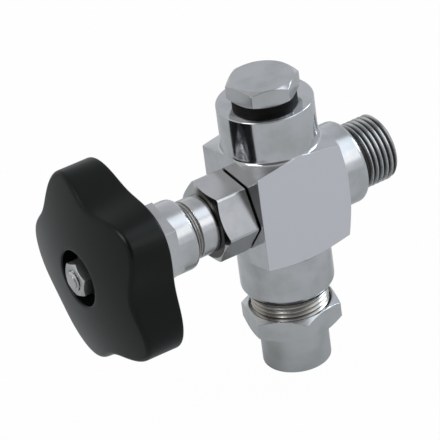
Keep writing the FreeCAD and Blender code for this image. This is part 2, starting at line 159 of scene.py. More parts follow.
def turned(name, section, steps=TURN_STEPS):
    """A solid of revolution about Z from a closed section of (radius, station, rounding)."""
    bpy.ops.object.select_all(action="DESELECT")
    bpy.ops.mesh.primitive_circle_add(vertices=len(section), fill_type="NOTHING")
    piece = bpy.context.object
    piece.name = name
    corners = []
    for vertex, (radius, station, *rounding) in zip(piece.data.vertices, section):
        vertex.co = Vector((radius * MM, 0, station * MM))
        if radius > 0:
            corners.append((vertex.co.copy(), rounding[0] if rounding else EDGE_ROUND))
    round_corners(piece, corners)
    edit(piece)
    bpy.ops.mesh.select_all(action="SELECT")
    bpy.ops.mesh.spin(steps=steps, angle=2 * math.pi, center=(0, 0, 0), axis=(0, 0, 1))
    bpy.ops.mesh.select_all(action="SELECT")
    bpy.ops.mesh.remove_doubles(threshold=SAME_PLACE)
    bpy.ops.mesh.delete_loose()
    bpy.ops.mesh.select_all(action="SELECT")
    bpy.ops.mesh.normals_make_consistent(inside=False)
    leave_edit()
    return piece


# %% Join, cut or intersect two pieces
CUT_SCRAP = 0.0005 * MM


def combine(piece, tool, how):
    """Joins, cuts or intersects a piece with a tool, which is used up. Scraps of edges are merged."""
    pick(piece)
    step = piece.modifiers.new("combine", "BOOLEAN")
    step.operation = how
    step.solver = "EXACT"
    step.object = tool
    bpy.ops.object.modifier_apply(modifier=step.name)
    bpy.data.objects.remove(tool)
    edit(piece)
    bpy.ops.mesh.select_all(action="SELECT")
    bpy.ops.mesh.remove_doubles(threshold=CUT_SCRAP)
    leave_edit()
    return piece


# %% [markdown]
# ## Hexagons
#
# A hexagon head is a six-sided bar whose corners are turned down in the lathe. That leaves the
# curved lines on the flats, so the bar is intersected with a turned shape and not just bevelled.

# %% Make a hexagon with turned-down ends
BEVEL_SLOPE = math.tan(math.radians(30))
CORNER_SEGMENTS = 4


def hexagon_end(station, face, wide, outward):
    """The section past one end of a hexagon bar: down a slope to the flat face, or straight."""
    past = station + outward
    if face is None:
        return [(wide, past, 0)]
    return [(face - 1 / BEVEL_SLOPE, past, 0), (wide, station - outward * (wide - face) * BEVEL_SLOPE, 0)]


def hexagon(name, flats, turn, start, end, start_face, end_face, rounding=0):
    """A hexagon bar on Z. The faces are the radii left flat at its ends, or None for a sharp end.

    Rounding is the width that is taken off the six long edges."""
    corner = flats / math.sqrt(3)
    wide = corner + 1
    bpy.ops.object.select_all(action="DESELECT")
    bpy.ops.mesh.primitive_cylinder_add(
        vertices=6, radius=corner * MM, depth=(end - start) * MM,
        location=(0, 0, (start + end) / 2 * MM), rotation=(0, 0, math.radians(turn)),
    )
    bar = bpy.context.object
    bar.name = name
    settle(bar)
    if rounding:
        edit(bar, "EDGE")
        bpy.ops.mesh.edges_select_sharp(sharpness=math.radians(75))
        bpy.ops.mesh.select_all(action="INVERT")
        bevel_marked(rounding, CORNER_SEGMENTS)
    section = [(0, start - 1), (0, end + 1)]
    section += hexagon_end(end, end_face, wide, 1)
    section += reversed(hexagon_end(start, start_face, wide, -1))
    return combine(bar, turned("corners", section), "INTERSECT")


# %% Soften the sharp edges of a piece


def soften(piece, width, angle=24):
    """Bevels every edge sharper than the angle. Short edges keep the bevel from growing too wide."""
    edit(piece, "EDGE")
    bpy.ops.mesh.edges_select_sharp(sharpness=math.radians(angle))
    bevel_marked(width, 2, clamp=True)


# %% [markdown]
# ## Threads
#
# A thread is one ridge that climbs the bar. A bump in the material could hint at it, but the
# outline would stay smooth, so it is real geometry. Its section goes through the Screw modifier,
# the two open ends are filled, and a turned sleeve trims the ridge to length and chamfers its ends.

# %% Cut a screw thread
FOOT_SUNK = 0.05
CREST_SHARE = 0.07
FLANK_SHARE = 0.37


def thread(name, major, depth, pitch, start, end, start_chamfer, end_chamfer, steps=72):
    """The ridge of a right-handed thread on Z, between two stations. Its foot sinks into the bar.

    The shares are of the pitch: half the flat crest, and one flank."""
    sunk = major - depth - FOOT_SUNK
    crest = CREST_SHARE * pitch
    foot = crest + FLANK_SHARE * pitch * (major - sunk) / depth
    section = [(sunk, -foot), (major, -crest), (major, crest), (sunk, foot)]
    bpy.ops.object.select_all(action="DESELECT")
    bpy.ops.mesh.primitive_circle_add(vertices=len(section), fill_type="NOTHING")
    ridge = bpy.context.object
    ridge.name = name
    for vertex, (radius, station) in zip(ridge.data.vertices, section):
        vertex.co = Vector((radius * MM, 0, (start - pitch + station) * MM))
    climb = ridge.modifiers.new("climb", "SCREW")
    climb.axis = "Z"
    climb.angle = 2 * math.pi
    climb.screw_offset = pitch * MM
    climb.iterations = math.ceil((end - start) / pitch) + 2
    climb.steps = steps
    climb.render_steps = steps
    bpy.ops.object.modifier_apply(modifier=climb.name)
    edit(ridge, "EDGE")
    bpy.ops.mesh.select_all(action="SELECT")
    bpy.ops.mesh.fill_holes(sides=0)
    bpy.ops.mesh.select_all(action="SELECT")
    bpy.ops.mesh.normals_make_consistent(inside=False)
    leave_edit()
    wide = major + 1
    inner = sunk - 0.5
    sleeve = turned("sleeve", [
        (inner, start, 0),
        (inner, end, 0),
        (major - end_chamfer, end, 0),
        (wide, end - (wide - major + end_chamfer), 0),
        (wide, start + (wide - major + start_chamfer), 0),
        (major - start_chamfer, start, 0),
    ])
    return combine(ridge, sleeve, "INTERSECT")


# %% [markdown]
# ## Finishing a piece
#
# A finished piece is shaded smooth up to an angle, and weighted normals keep its flats flat. It is
# then tied to the body it rides on, and the CAD node it stands for is hidden.

# %% Finish and hand over
SMOOTH_ANGLE = 32
finished = []


def finish_piece(piece, body, node):
    """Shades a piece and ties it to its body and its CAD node."""
    pick(piece)
    bpy.ops.object.shade_smooth_by_angle(angle=math.radians(SMOOTH_ANGLE))
    flats = piece.modifiers.new("flats", "WEIGHTED_NORMAL")
    flats.keep_sharp = True
    bpy.ops.object.modifier_apply(modifier=flats.name)
    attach(piece, body)
    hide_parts(node)
    finished.append(piece)
    print(piece.name, "has", len(piece.data.polygons), "faces")


# %% [markdown]
# ## The block
#
# The block is a square bar that is turned in a lathe. It is made here in the same order, because
# the turning then leaves the same curved edges on the flats. Its upright edges are broken first.
# Then the shoulders, both bosses and the glass bore are turned about the upright axis, and the
# corners on the process side are turned off about the stem's axis.

# %% Sizes of the block
BLOCK_LEFT = 14.85
BLOCK_RIGHT = 16.8
BLOCK_DEPTH = 30.0
BLOCK_TOP = 17.6
BLOCK_BOTTOM = -17.2
SLOPE = math.tan(math.radians(17))
SLOPE_START = 15.0
BOSS_RADIUS = 14.8
BOSS_TOP = 31.85
LOW_BOSS_RADIUS = 14.45
LOW_BOSS_END = -33.2
GLASS_BORE = 7.25
PLUG_HOLE = 8.38
PLUG_HOLE_END = 19.45
SEAL_POCKET = 9.4
POCKET_TOP = -33.2
STUB_RADIUS = 11.4
STUB_END = -43.4
BLEND = 0.9

# %% Square bar with broken edges
UPRIGHT_EDGE_BEVEL = 0.4
valve_body = square_bar(
    "valve_body",
    ((BLOCK_RIGHT - BLOCK_LEFT) / 2, 0, (STUB_END + BOSS_TOP) / 2),
    (BLOCK_LEFT + BLOCK_RIGHT, BLOCK_DEPTH, BOSS_TOP - STUB_END),
)
clear_marks(valve_body, "EDGE")
for edge in valve_body.data.edges:
    a, b = [valve_body.data.vertices[i].co for i in edge.vertices]
    edge.select = abs(a.z - b.z) > MM
bevel_marked(UPRIGHT_EDGE_BEVEL, 2)
print("the bar is", round(BOSS_TOP - STUB_END, 2), "mm long")

# %% Turn the shoulders, the bosses and the bores
far = 40.0
fall = (far - SLOPE_START) * SLOPE
top_root = BLOCK_TOP + (SLOPE_START - BOSS_RADIUS) * SLOPE
low_root = BLOCK_BOTTOM - (SLOPE_START - LOW_BOSS_RADIUS) * SLOPE
envelope = turned("envelope", [
    (SEAL_POCKET, STUB_END, 0.3),
    (STUB_RADIUS, STUB_END, 0.1),
    (STUB_RADIUS, LOW_BOSS_END, 0),
    (12.85, LOW_BOSS_END, 0.3),
    (LOW_BOSS_RADIUS, LOW_BOSS_END + 2.5, 0.5),
    (LOW_BOSS_RADIUS, low_root, BLEND),
    (far, BLOCK_BOTTOM + fall, 0),
    (far, BLOCK_TOP - fall, 0),
    (BOSS_RADIUS, top_root, BLEND),
    (BOSS_RADIUS, BOSS_TOP, 0.35),
    (8.78, BOSS_TOP, 0),
    (PLUG_HOLE, BOSS_TOP - 0.4, 0),
    (PLUG_HOLE, PLUG_HOLE_END, 0),
    (GLASS_BORE, 19.05, 0),
    (GLASS_BORE, POCKET_TOP, 0),
    (SEAL_POCKET, POCKET_TOP, 0),
])
combine(valve_body, envelope, "INTERSECT")
print("turned block has", len(valve_body.data.polygons), "faces")

# %% Turn off the corners on the process side
reach = math.hypot(BLOCK_DEPTH, BLOCK_TOP - BLOCK_BOTTOM)
side_tool = turned("side_tool", [
    (SLOPE_START, BLOCK_RIGHT + 1, 0),
    (SLOPE_START, BLOCK_RIGHT, 0),
    (reach, BLOCK_RIGHT - (reach - SLOPE_START) * SLOPE, 0),
    (reach, BLOCK_RIGHT + 1, 0),
])
lay(side_tool, "stem")
slab_low, slab_high = BLOCK_BOTTOM + 0.2, BLOCK_TOP - 0.2
slab = square_bar("slab", (25, 0, (slab_low + slab_high) / 2), (50, 100, slab_high - slab_low))
combine(side_tool, slab, "INTERSECT")
combine(valve_body, side_tool, "DIFFERENCE")
print("without those corners the block has", len(valve_body.data.polygons), "faces")

# %% Break the milled edges and stand the block on the glass's axis
soften(valve_body, 0.3, angle=50)
lay(valve_body, "glass")
print("block has", len(valve_body.data.polygons), "faces")

# %% [markdown]
# ## The process end
#
# The round shoulder and the pipe thread grow out of the block's right side. The shoulder has a
# generous round, a narrow flat ring and an undercut, and the thread's ridge is a real helix. The
# shoulder and the thread's core are turned as one piece, and joined to the block before it is
# bored, so that one bore runs through both.

# %% Sizes of the process end
PIPE_RADIUS = 10.4775
PIPE_PITCH = 1.814
PIPE_DEPTH = 1.162
PIPE_END = 12.5
PIPE_ROOT = PIPE_RADIUS - PIPE_DEPTH
RELIEF_RADIUS = 9.1
SHOULDER_RADIUS = 13.13
SHOULDER_ROOT = VALVE_X + 6.0
print("the thread's core is", round(2 * PIPE_ROOT, 2), "mm thick")

# %% Turn the shoulder and join it to the block
process_end = turned("process_end", [
    (0, SHOULDER_ROOT),
    (SHOULDER_RADIUS, SHOULDER_ROOT, 0),
    (SHOULDER_RADIUS, 0, 1.6),
    (10.58, 0, 0.1),
    (RELIEF_RADIUS, -0.5, 0.1),
    (RELIEF_RADIUS, 1.2, 0),
    (PIPE_ROOT, 1.3, 0),
    (PIPE_ROOT, PIPE_END, 0.15),
    (0, PIPE_END),
])
lay(process_end, "stem")
combine(valve_body, process_end, "UNION")
print("with its process end the body has", len(valve_body.data.polygons), "faces")

# %% Bore the chamber and the process way
STEM_THREAD_RADIUS = 10.05
LEFT_FACE = VALVE_X - BLOCK_LEFT
BONNET_INNER_END = LEFT_FACE + 6.3
SEAT_FACE = VALVE_X + 8.7
CHAMBER_RADIUS = 6.4
WAY_RADIUS = 4.0
chamber = turned("chamber", [
    (0, LEFT_FACE - 2),
    (STEM_THREAD_RADIUS, LEFT_FACE - 2, 0),
    (STEM_THREAD_RADIUS, BONNET_INNER_END + 0.4, 0),
    (CHAMBER_RADIUS, BONNET_INNER_END + 0.4, 0),
    (CHAMBER_RADIUS, SEAT_FACE + 0.9, 0),
    (5.1, SEAT_FACE + 0.9, 0),
    (4.6, SEAT_FACE, 0),
    (WAY_RADIUS, SEAT_FACE, 0),
    (WAY_RADIUS, PIPE_END - 0.3, 0),
    (4.6, PIPE_END + 0.3, 0),
    (4.6, PIPE_END + 2, 0),
    (0, PIPE_END + 2),
])
lay(chamber, "stem")
combine(valve_body, chamber, "DIFFERENCE")
print("the seat lies", round(-SEAT_FACE, 1), "mm behind the shoulder")

# %% Cut the pipe thread and the gland thread
pipe_thread = thread("pipe_thread", PIPE_RADIUS, PIPE_DEPTH, PIPE_PITCH, 1.6, PIPE_END - 0.15, 0.4, 0.8)
lay(pipe_thread, "stem")
combine(valve_body, pipe_thread, "UNION")
GLAND_RADIUS = 12.0
gland_thread = thread("gland_thread", GLAND_RADIUS, 0.6, 1.5, STUB_END + 0.15, LOW_BOSS_END - 0.9, 0.5, 0.3)
lay(gland_thread, "glass")
combine(valve_body, gland_thread, "UNION")
finish_piece(valve_body, "valve", "body")


# %% [markdown]
# ## The top plug
#
# The plug is a hexagon head on a parallel pipe thread, which is hidden until the plug is screwed
# out. The core is turned, and the head and the ridge of the thread are joined to it, since no one
# section gives all three. Its gasket is the CAD node, a black ring between the head and the boss.

# %% Sizes of the plug
PLUG_FLATS = 19.7
PLUG_TURN = -50
PLUG_FACE = PLUG_FLATS / 2 - 0.3
PLUG_HEAD_LOW = BOSS_TOP + 1.95
PLUG_HEAD_HIGH = PLUG_HEAD_LOW + 5.9
PLUG_END = BOSS_TOP - 12.0
PLUG_RADIUS = 8.33
PLUG_PITCH = 1.337
PLUG_DEPTH = 0.86
PLUG_CORE = 7.47
print("the plug is", round(PLUG_HEAD_HIGH - PLUG_END, 2), "mm long")

# %% Turn the plug and give it its head and thread
top_plug = turned("plug_with_thread", [
    (0, PLUG_END),
    (PLUG_CORE, PLUG_END, 0.2),
    (PLUG_CORE, PLUG_HEAD_LOW + 1, 0),
    (0, PLUG_HEAD_LOW + 1),
])
plug_head = hexagon("plug_head", PLUG_FLATS, PLUG_TURN, PLUG_HEAD_LOW, PLUG_HEAD_HIGH, PLUG_FACE, PLUG_FACE)
soften(plug_head, 0.38)
combine(top_plug, plug_head, "UNION")
plug_thread = thread(
    "plug_thread", PLUG_RADIUS, PLUG_DEPTH, PLUG_PITCH, PLUG_END + 0.15, BOSS_TOP - 0.7, 0.7, 0.4,
)
combine(top_plug, plug_thread, "UNION")
lay(top_plug, "glass")
finish_piece(top_plug, "plug", "top_plug")

# %% [markdown]
# ## The bonnet and the packing nut
#
# The bonnet screws into the block. Its hexagon is sharp where it meets the block and bevelled
# towards the wheel, and a fine thread shows between its neck and the packing nut. The packing nut
# is a hexagon that runs into a round collar. In both pieces the hexagon is bored first and is then
# joined to the turned part, so that the bore stays as it was turned.

# %% Sizes of the bonnet
HEX_RIGHT = LEFT_FACE - 0.5
HEX_LEFT = HEX_RIGHT - 11.1
NECK_LEFT = HEX_LEFT - 5.75
BONNET_END = NECK_LEFT - 10.8
BONNET_FLATS = 22.9
BONNET_TURN = 126.8
BONNET_FACE = 11.15
NECK_RADIUS = 9.25
CAP_RADIUS = 9.05
CAP_CORE = 8.6
STEM_BORE = 5.05
SHANK_BORE = 4.15
PACKING_BORE = 6.6
PACKING_FLOOR = BONNET_END + 11.4
STEM_BORE_END = BONNET_INNER_END - 15
print("the bonnet is", round(BONNET_INNER_END - BONNET_END, 2), "mm long")

# %% Turn the bonnet
bonnet = turned("bonnet_with_threads", [
    (STEM_BORE, BONNET_INNER_END, 0),
    (STEM_BORE, STEM_BORE_END, 0),
    (SHANK_BORE, STEM_BORE_END, 0),
    (SHANK_BORE, PACKING_FLOOR, 0),
    (PACKING_BORE, PACKING_FLOOR, 0),
    (PACKING_BORE, BONNET_END, 0.1),
    (CAP_CORE, BONNET_END, 0.15),
    (CAP_CORE, NECK_LEFT, 0),
    (NECK_RADIUS, NECK_LEFT, 0.25),
    (NECK_RADIUS, HEX_LEFT + 1, 0),
    (9.9, HEX_LEFT + 1, 0),
    (9.9, HEX_RIGHT - 0.5, 0),
    (9.08, HEX_RIGHT - 0.5, 0),
    (9.08, BONNET_INNER_END, 0.15),
])
print("the turned bonnet has", len(bonnet.data.polygons), "faces")

# %% Give the bonnet its hexagon and its threads
bonnet_hex = hexagon("bonnet_hex", BONNET_FLATS, BONNET_TURN, HEX_LEFT, HEX_RIGHT, BONNET_FACE, None, 0.7)
soften(bonnet_hex, 0.4)
hex_bore = turned("hex_bore", [
    (0, HEX_LEFT - 2),
    (9.0, HEX_LEFT - 2, 0),
    (9.0, HEX_RIGHT - 1, 0),
    (8.0, HEX_RIGHT - 1, 0),
    (8.0, HEX_RIGHT + 2, 0),
    (0, HEX_RIGHT + 2),
])
combine(bonnet_hex, hex_bore, "DIFFERENCE")
combine(bonnet, bonnet_hex, "UNION")
cap_thread = thread("cap_thread", CAP_RADIUS, 0.45, 0.85, BONNET_END + 0.15, NECK_LEFT - 0.15, 0.3, 0.2)
combine(bonnet, cap_thread, "UNION")
block_thread = thread("block_thread", 10.0, 0.92, 1.5, HEX_RIGHT + 0.4, BONNET_INNER_END - 0.15, 0.4, 0.7)
combine(bonnet, block_thread, "UNION")
lay(bonnet, "stem")
finish_piece(bonnet, "valve", "bonnet")

# %% Sizes of the packing nut
NUT_RIGHT = NECK_LEFT - 2.1
NUT_FLOOR = BONNET_END - 0.6 - 1.5
NUT_LEFT = NUT_FLOOR - 4.0
NUT_HEX_RIGHT = NUT_LEFT + 7.5
NUT_FLATS = 22.4
NUT_TURN = 140.5
NUT_RADIUS = 11.23
NUT_HOLE = 4.3
NUT_BORE = 9.1
print("the packing nut is", round(NUT_RIGHT - NUT_LEFT, 2), "mm long")

# %% Turn the packing nut and give it its flats
packing_nut = turned("round_packing_nut", [
    (NUT_HOLE, NUT_LEFT + 0.5, 0),
    (10.2, NUT_LEFT + 0.5, 0),
    (10.2, NUT_HEX_RIGHT - 1, 0),
    (NUT_RADIUS, NUT_HEX_RIGHT - 1, 0),
    (NUT_RADIUS, NUT_RIGHT, 1.9),
    (NUT_BORE, NUT_RIGHT, 0.15),
    (NUT_BORE, BONNET_END - 2.1, 0),
    (NUT_HOLE, BONNET_END - 2.1, 0),
])
nut_hex = hexagon("nut_hex", NUT_FLATS, NUT_TURN, NUT_LEFT, NUT_HEX_RIGHT, 10.9, None)
nut_bore = turned("nut_bore", [
    (0, NUT_LEFT - 2),
    (NUT_HOLE, NUT_LEFT - 2, 0),
    (NUT_HOLE, NUT_LEFT + 2, 0),
    (9.6, NUT_LEFT + 2, 0),
    (9.6, NUT_HEX_RIGHT + 2, 0),
    (0, NUT_HEX_RIGHT + 2),
])
combine(nut_hex, nut_bore, "DIFFERENCE")
soften(nut_hex, 0.22, angle=20)
combine(packing_nut, nut_hex, "UNION")
lay(packing_nut, "stem")
finish_piece(packing_nut, "valve", "packing_nut")

# %% [markdown]
# ## The gland nut
#
# The gland nut squeezes the seals round the glass. It is one big hexagon with a long round skirt.
# The hexagon's edges are softened before it is bored, so that the mouth of the bore stays as cut.

# %% Sizes of the gland nut
GLAND_TOP = -38.5
GLAND_HEX_LOW = GLAND_TOP - 7.9
SKIRT_END = -58.8
SKIRT_RADIUS = 10.6
GLAND_FLATS = 27.0
GLAND_TURN = -74.8
GLAND_BORE = 12.05
GLAND_MOUTH = 12.95
GLAND_FLOOR = -45.0
print("the gland nut is", round(GLAND_TOP - SKIRT_END, 2), "mm high")

# %% Turn the skirt and join the hexagon to it
gland_nut = turned("gland_nut_with_skirt", [
    (GLASS_BORE, SKIRT_END, 0.2),
    (SKIRT_RADIUS, SKIRT_END, 0.5),
    (SKIRT_RADIUS, GLAND_HEX_LOW + 1.5, 0),
    (GLASS_BORE, GLAND_HEX_LOW + 1.5, 0),
])
gland_hex = hexagon("gland_hex", GLAND_FLATS, GLAND_TURN, GLAND_HEX_LOW, GLAND_TOP, 12.3, 13.2)
gland_bore = turned("gland_bore", [
    (0, GLAND_TOP + 2),
    (GLAND_MOUTH, GLAND_TOP + 2, 0),
    (GLAND_MOUTH, GLAND_TOP, 0),
    (GLAND_BORE, GLAND_TOP - 0.9, 0),
    (GLAND_BORE, GLAND_FLOOR, 0),
    (9.0, GLAND_FLOOR, 0),
    (9.0, GLAND_HEX_LOW - 2, 0),
    (0, GLAND_HEX_LOW - 2),
])
soften(gland_hex, 0.4)
combine(gland_hex, gland_bore, "DIFFERENCE")
combine(gland_nut, gland_hex, "UNION")
lay(gland_nut, "glass")
finish_piece(gland_nut, "gland", "gland_nut")

# %% [markdown]
# ## The stem
#
# Only the plain shank behind the wheel and the small threaded end in the wheel nut show, but the
# stem is one turned bar, so it is made whole. The square that drives the wheel is what a round bar
# and a square one have in common, which leaves its corners a little round, as on milled stock.

# %% Sizes of the stem, and where the wheel sits on it
HUB_BACK = NUT_LEFT - 2.6
RIM_BACK = NUT_LEFT - 4.7
CROWN_FRONT = RIM_BACK - 17.6
RECESS_FLOOR = CROWN_FRONT + 5.7
WASHER_FRONT = RECESS_FLOOR - 1.6
WHEEL_NUT_FRONT = WASHER_FRONT - 5.0
STEM_END = WHEEL_NUT_FRONT - 1.1
SQUARE_END = RECESS_FLOOR + 0.4
STEM_NOSE = cad_span("stem", 0)[1]
NOSE_RADIUS = 3.0
GROOVE_RADIUS = 2.0
COLLAR_RADIUS = 5.8
COLLAR_LEFT = BONNET_INNER_END + 4.65
COLLAR_RIGHT = STEM_NOSE - 5.7
SHANK_RADIUS = 4.0
THREAD_LEFT = BONNET_INNER_END - 9.35
print("the stem is", round(STEM_NOSE - STEM_END, 2), "mm long")

# %% Turn the stem and cut its two threads
stem = turned("stem_with_threads", [
    (0, STEM_NOSE),
    (NOSE_RADIUS, STEM_NOSE, 0.4),
    (NOSE_RADIUS, STEM_NOSE - 1.85, 0),
    (GROOVE_RADIUS, STEM_NOSE - 1.85, 0),
    (GROOVE_RADIUS, STEM_NOSE - 3.65, 0),
    (NOSE_RADIUS, STEM_NOSE - 3.65, 0),
    (NOSE_RADIUS, COLLAR_RIGHT, 0),
    (COLLAR_RADIUS, COLLAR_RIGHT, 0.2),
    (COLLAR_RADIUS, COLLAR_LEFT, 0.2),
    (SHANK_RADIUS, COLLAR_LEFT, 0),
    (SHANK_RADIUS, HUB_BACK, 0),
    (2.7, HUB_BACK, 0),
    (2.7, SQUARE_END + 0.5, 0),
    (2.39, SQUARE_END + 0.5, 0),
    (2.39, STEM_END, 0.1),
    (0, STEM_END),
])
main_thread = thread("main_thread", 5.0, 1.0, 1.5, THREAD_LEFT, COLLAR_LEFT - 0.2, 0.8, 0.2)
combine(stem, main_thread, "UNION")
end_thread = thread("end_thread", 3.0, 0.61, 1.0, STEM_END + 0.12, SQUARE_END - 0.2, 0.55, 0.2, steps=48)
combine(stem, end_thread, "UNION")
print("the turned stem has", len(stem.data.polygons), "faces")

# %% Mill the square that drives the stem, and join it
WHEEL_TURN = 68.5
SQUARE_SIDE = 6
bpy.ops.object.select_all(action="DESELECT")
bpy.ops.mesh.primitive_cylinder_add(
    vertices=64,
    radius=3.95 * MM,
    depth=(HUB_BACK - SQUARE_END + 0.2) * MM,
    location=(0, 0, (HUB_BACK + SQUARE_END + 0.2) / 2 * MM),
)
shank = bpy.context.object
settle(shank)
middle = (HUB_BACK + SQUARE_END) / 2
square = square_bar("square", (0, 0, middle), (SQUARE_SIDE, SQUARE_SIDE, 30), WHEEL_TURN)
combine(shank, square, "INTERSECT")
combine(stem, shank, "UNION")
lay(stem, "stem")
finish_piece(stem, "stem_and_wheel", "stem")

# %% [markdown]
# ## The handwheel
#
# The wheel is a moulding with five lobes. A spun section can't follow the lobes, so it is drawn as
# loops: each loop is extruded from the one before, and its points are put on the lobed outline at
# their own angle.

# %% Sizes of the handwheel
LOBES = 5
HUB_RADIUS = 11.0
HUB_BORE = 6.5
FRONT_OUTLINE = (32.1, 25.1, 0.17)
BACK_OUTLINE = (31.9, 27.5, -0.02)
CROWN_RADIUS = 106.0
RECESS_RADIUS = 8.85
WHEEL_STEPS = 240


def outline_radius(angle, outline):
    """The radius of a lobed outline. The outline is the lobe's reach, the valley's reach and a point."""
    lobe, valley, point = outline
    around = angle - math.radians(WHEEL_TURN)
    middle = (lobe + valley) / 2 - point
    swing = (lobe - valley) / 2 * math.cos(LOBES * around)
    return middle + swing + point * math.cos(2 * LOBES * around)


def crown_station(radius):
    """How far along the axis the domed front lies at a radius."""
    return CROWN_FRONT + CROWN_RADIUS - math.sqrt(CROWN_RADIUS ** 2 - radius ** 2)


def next_loop(piece, place):
    """Extrudes the open loop and puts each new point where its angle says."""
    bpy.ops.mesh.extrude_edges_move()
    bpy.ops.object.mode_set(mode="OBJECT")
    for vertex in piece.data.vertices:
        if vertex.select:
            across, up = -vertex.co.x, vertex.co.y
            angle = math.atan2(across, up)
            radius, station = place(angle)
            vertex.co = Vector((-radius * math.sin(angle), radius * math.cos(angle), station)) * MM
    bpy.ops.object.mode_set(mode="EDIT")


# %% Draw the wheel loop by loop
bpy.ops.object.select_all(action="DESELECT")
bpy.ops.mesh.primitive_circle_add(
    vertices=WHEEL_STEPS, radius=HUB_BORE * MM, fill_type="NOTHING", location=(0, 0, HUB_BACK * MM),
)
wheel = bpy.context.object
wheel.name = "lobed_wheel"
settle(wheel)
edit(wheel, "EDGE")
bpy.ops.mesh.select_all(action="SELECT")
next_loop(wheel, lambda a: (HUB_RADIUS - 0.3, HUB_BACK))
next_loop(wheel, lambda a: (HUB_RADIUS, HUB_BACK - 0.3))
next_loop(wheel, lambda a: (HUB_RADIUS, RIM_BACK))


def on_back(share):
    """A loop on the flat back, at a share of the way from the hub to the rim."""
    return lambda a: (HUB_RADIUS + share * (outline_radius(a, BACK_OUTLINE) - HUB_RADIUS), RIM_BACK)


for share in (0.3, 0.6, 0.85):
    next_loop(wheel, on_back(share))
next_loop(wheel, lambda a: (outline_radius(a, BACK_OUTLINE), RIM_BACK))


def wall_radius(angle, station):
    """The radius of the drafted side wall, between the back outline and the front outline."""
    share = (RIM_BACK - station) / (RIM_BACK - CROWN_FRONT)
    back, front = outline_radius(angle, BACK_OUTLINE), outline_radius(angle, FRONT_OUTLINE)
    return back + share * (front - back)


def front_edge(angle):
    """Where the side wall runs into the domed front: its radius and station."""
    station = CROWN_FRONT
    for _ in range(6):
        station = crown_station(wall_radius(angle, station))
    return wall_radius(angle, station), station


def on_wall(share):
    """A loop on the side wall, at a share of the way from the back to the front edge."""
    def place(angle):
        station = RIM_BACK + share * (front_edge(angle)[1] - RIM_BACK)
        return wall_radius(angle, station), station
    return place


def on_crown(share):
    """A loop on the domed front, at a share of the way from its edge to the recess."""
    def place(angle):
        edge = front_edge(angle)[0]
        radius = edge + share * (RECESS_RADIUS - edge)
        return radius, crown_station(radius)
    return place


for share in (0.15, 0.4, 0.65, 0.8, 1.0):
    next_loop(wheel, on_wall(share))
for share in (0.18, 0.34, 0.5, 0.65, 0.8, 0.92, 1.0):
    next_loop(wheel, on_crown(share))
next_loop(wheel, lambda a: (RECESS_RADIUS, crown_station(RECESS_RADIUS) + 1.5))
next_loop(wheel, lambda a: (RECESS_RADIUS, RECESS_FLOOR))
next_loop(wheel, lambda a: (HUB_BORE, RECESS_FLOOR))
next_loop(wheel, lambda a: (HUB_BORE, HUB_BACK))
bpy.ops.mesh.select_all(action="SELECT")
bpy.ops.mesh.remove_doubles(threshold=SAME_PLACE)
bpy.ops.mesh.normals_make_consistent(inside=False)
leave_edit()
print("the sharp wheel has", len(wheel.data.polygons), "faces")

# %% [markdown]
# The moulding has no sharp corner: its front edge has the largest round, and the back edge and
# the mouth of the recess have smaller ones. Each loop is found by its place and bevelled.

# %% Round the edges of the wheel
ON_LOOP = 0.01 * MM


def round_loop(piece, place, radius, segments):
    """Rounds the loop of edges whose points all lie where place says."""
    clear_marks(piece, "EDGE")
    on_loop = []
    for vertex in piece.data.vertices:
        angle = math.atan2(-vertex.co.x, vertex.co.y)
        reach, station = place(angle)
        target = Vector((-reach * math.sin(angle), reach * math.cos(angle), station)) * MM
        on_loop.append((vertex.co - target).length < ON_LOOP)
    for edge in piece.data.edges:
        edge.select = all(on_loop[i] for i in edge.vertices)
    bevel_marked(radius, segments)


round_loop(wheel, front_edge, 1.3, 6)
round_loop(wheel, lambda a: (outline_radius(a, BACK_OUTLINE), RIM_BACK), 0.8, 4)
round_loop(wheel, on_crown(1.0), 0.6, 4)
round_loop(wheel, lambda a: (RECESS_RADIUS, RECESS_FLOOR), 0.3, 2)
lay(wheel, "stem")
finish_piece(wheel, "stem_and_wheel", "handwheel")

# %% [markdown]
# ## The wheel nut
#
# A small hexagon nut, bevelled at both ends, holds the wheel on the stem. Its hole is plain, since
# the stem's thread fills it.

# %% Make the wheel nut
NUT_FACE = 4.7
wheel_nut = hexagon("bevelled_wheel_nut", 10.0, 101.0, WHEEL_NUT_FRONT, WASHER_FRONT, NUT_FACE, NUT_FACE)
nut_hole = turned("nut_hole", [
    (0, WHEEL_NUT_FRONT - 1),
    (4.3, WHEEL_NUT_FRONT - 1, 0),
    (3.05, WHEEL_NUT_FRONT + 0.35, 0),
    (3.05, WASHER_FRONT + 1, 0),
    (0, WASHER_FRONT + 1),
], steps=64)
soften(wheel_nut, 0.15)
combine(wheel_nut, nut_hole, "DIFFERENCE")
lay(wheel_nut, "stem")
finish_piece(wheel_nut, "stem_and_wheel", "wheel_nut")


# %% [markdown]
# ## Materials
#
# Every finish is a small recipe of nodes. Sums on values are written as sums, and each sum becomes
# one Math node. The patterns read the place on the object, so they need no picture and no
# unwrapping, and they stay on a piece when it moves.

# %% Values that can be added and multiplied


